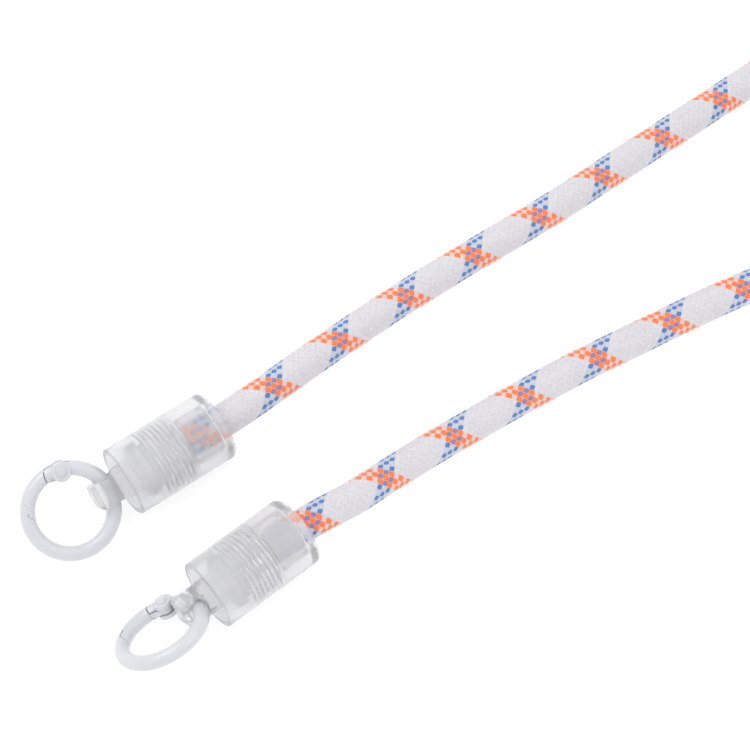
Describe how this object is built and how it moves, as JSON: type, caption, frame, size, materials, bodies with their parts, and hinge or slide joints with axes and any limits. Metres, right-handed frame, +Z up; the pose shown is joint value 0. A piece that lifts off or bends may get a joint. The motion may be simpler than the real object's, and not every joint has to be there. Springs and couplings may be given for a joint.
{
  "type": "rope phone strap with ring clips",
  "caption": "Braided rope strap with a clear screw-capped barrel and a white spring-gate ring clip at each end; spare rope coiled and tied.",
  "frame": {"origin": "on the floor, under the middle of the box round both end fittings and their rings, without the rope", "axes": "+X runs along barrel A from its ring end to its rope end, +Z is up, +Y points from barrel B towards barrel A"},
  "size_m": [0.3573, 0.099, 0.0344],
  "materials": {
    "clear_plastic": "polished clear moulded plastic",
    "white_enamel": "glossy white enamel on zinc alloy",
    "rivet_metal": "thin white enamel over steel",
    "spring_steel": "bright spring wire",
    "rope_fabric": "braided polyester, white with orange and blue tracer strands",
    "tie_fabric": "white woven tape"
  },
  "bodies": {
    "strap": {"barrel_a": "clear_plastic", "barrel_b": "clear_plastic", "plug_a": "clear_plastic", "plug_b": "clear_plastic", "rope_ferrule_a": "clear_plastic", "rope_ferrule_b": "clear_plastic", "rope_end_seal_a": "rope_fabric", "rope_end_seal_b": "rope_fabric", "rope_lead_a": "rope_fabric", "rope_lead_b": "rope_fabric", "rope_coil": "rope_fabric", "coil_tie": "tie_fabric"},
    "ring_clip_a": {"ring_a": "white_enamel", "gate_rivet_a": "rivet_metal", "gate_spring_a": "spring_steel"},
    "gate_arm_a": {"gate_a": "white_enamel"},
    "ring_clip_b": {"ring_b": "white_enamel", "gate_rivet_b": "rivet_metal", "gate_spring_b": "spring_steel"},
    "gate_arm_b": {"gate_b": "white_enamel"}
  },
  "joints": [
    {"name": "ring_swing_a", "type": "hinge", "parent": "strap", "child": "ring_clip_a", "pos_m": [-0.00554, 0.01948, 0.0096], "axis": [0, 0.8251, 0.565], "range_deg": [-86, 103]},
    {"name": "gate_open_a", "type": "hinge", "parent": "ring_clip_a", "child": "gate_arm_a", "pos_m": [-0.01347, 0.02894, 0.01457], "axis": [-0.1547, -0.5582, 0.8152], "range_deg": [0, 28], "stiffness_Nm_per_rad": 0.03, "springref_deg": -22.92, "deforming": ["gate_spring_a"]},
    {"name": "ring_swing_b", "type": "hinge", "parent": "strap", "child": "ring_clip_b", "pos_m": [-0.00522, -0.01982, 0.0096], "axis": [-0.0565, 0.7881, -0.6129], "range_deg": [-93, 97]},
    {"name": "gate_open_b", "type": "hinge", "parent": "ring_clip_b", "child": "gate_arm_b", "pos_m": [-0.0103, -0.01415, 0.00473], "axis": [-0.0786, 0.6085, 0.7897], "range_deg": [0, 28], "stiffness_Nm_per_rad": 0.03, "springref_deg": -22.92, "deforming": ["gate_spring_b"]}
  ]
}
